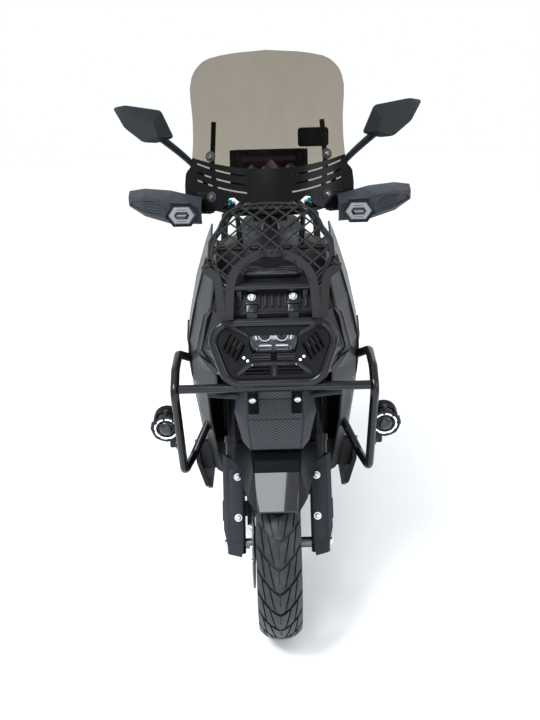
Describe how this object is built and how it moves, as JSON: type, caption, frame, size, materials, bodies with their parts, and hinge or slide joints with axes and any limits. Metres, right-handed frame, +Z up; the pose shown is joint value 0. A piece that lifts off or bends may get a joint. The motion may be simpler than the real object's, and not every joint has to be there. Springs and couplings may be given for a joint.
{
  "type": "motor scooter",
  "caption": "Adventure-style motor scooter with tall screen, front crash bars, cargo rack and handguards, parked on its centre stand.",
  "frame": {"origin": "on the ground, midway along and across the whole scooter", "axes": "+Z up, -Y towards the nose, +X to the rider's left"},
  "size_m": [0.824, 1.9, 1.4962],
  "materials": {
    "frame_black": "satin",
    "nose_black": "gloss",
    "body_grey": "satin",
    "slate_plastic": "matte",
    "black_plastic": "matte",
    "guard_black": "semi-gloss",
    "lamp_clear": "clear",
    "lamp_red": "clear",
    "lamp_amber": "clear",
    "lamp_body": "satin",
    "hex_lamp": "gloss",
    "screen_smoke": "smoked",
    "rubber": "matte",
    "tyre": "matte",
    "wheel_black": "satin",
    "steel": "brushed",
    "fork_black": "satin",
    "engine_alloy": "cast",
    "exhaust": "satin",
    "mirror_glass": "polished",
    "seat_cover": "grained",
    "net_cord": "woven",
    "bar_metal": "satin"
  },
  "bodies": {
    "chassis": {"frame": "frame_black", "nose_panel": "nose_black", "nose_top": "black_plastic", "headlamp": "lamp_body", "headlamp_lens": "lamp_clear", "lamp_hoop": "guard_black", "lamp_guard": "guard_black", "crash_bar_left": "guard_black", "crash_bar_right": "guard_black", "fog_lamps": "lamp_body", "fog_lenses": "lamp_clear", "front_rack": "guard_black", "cargo_net": "net_cord", "side_cowl_left": "body_grey", "side_cowl_right": "body_grey", "lower_cowl_left": "black_plastic", "lower_cowl_right": "black_plastic", "chevron_panel": "slate_plastic", "wheel_well": "black_plastic", "leg_shield": "black_plastic", "tunnel": "black_plastic", "floorboard_left": "black_plastic", "floorboard_right": "black_plastic", "belly_pan": "black_plastic", "storage_tub": "black_plastic", "side_panel_left": "body_grey", "side_panel_right": "body_grey", "tail": "body_grey", "tail_lamp": "lamp_red", "rear_carrier": "guard_black", "plate_bracket": "black_plastic", "rear_signals": "lamp_amber", "engine_unit": "engine_alloy", "air_box": "black_plastic", "muffler": "exhaust", "shocks": "steel"},
    "steering": {"steering_stem": "fork_black", "fork_legs": "fork_black", "fork_guards": "slate_plastic", "front_axle": "steel", "brake_caliper": "fork_black", "front_fender": "nose_black", "handlebar": "bar_metal", "grips": "rubber", "controls": "black_plastic", "handguards": "slate_plastic", "guard_lamps": "hex_lamp", "mirrors": "slate_plastic", "mirror_glass": "mirror_glass", "windscreen": "screen_smoke", "screen_stays": "bar_metal", "instrument": "black_plastic", "brake_lines": "rubber"},
    "front_wheel": {"front_tyre": "tyre", "front_rim": "wheel_black", "brake_disc": "steel"},
    "rear_wheel": {"rear_tyre": "tyre", "rear_rim": "wheel_black"},
    "centre_stand": {"centre_stand": "frame_black"},
    "seat": {"seat": "seat_cover"}
  },
  "joints": [
    {"name": "steering_turn", "type": "hinge", "parent": "chassis", "child": "steering", "pos_m": [0, -0.795, 0], "axis": [0, 0.454, 0.891], "range_deg": [-38, 38]},
    {"name": "front_wheel_spin", "type": "hinge", "parent": "steering", "child": "front_wheel", "pos_m": [0, -0.7, 0.25], "axis": [1, 0, 0], "continuous": true},
    {"name": "rear_wheel_spin", "type": "hinge", "parent": "chassis", "child": "rear_wheel", "pos_m": [0, 0.65, 0.264], "axis": [1, 0, 0], "continuous": true},
    {"name": "centre_stand_fold", "type": "hinge", "parent": "chassis", "child": "centre_stand", "pos_m": [0, 0.262, 0.165], "axis": [1, 0, 0], "range_deg": [0, 85]},
    {"name": "seat_lift", "type": "hinge", "parent": "chassis", "child": "seat", "pos_m": [0, -0.062, 0.697], "axis": [1, 0, 0], "range_deg": [0, 65]}
  ]
}
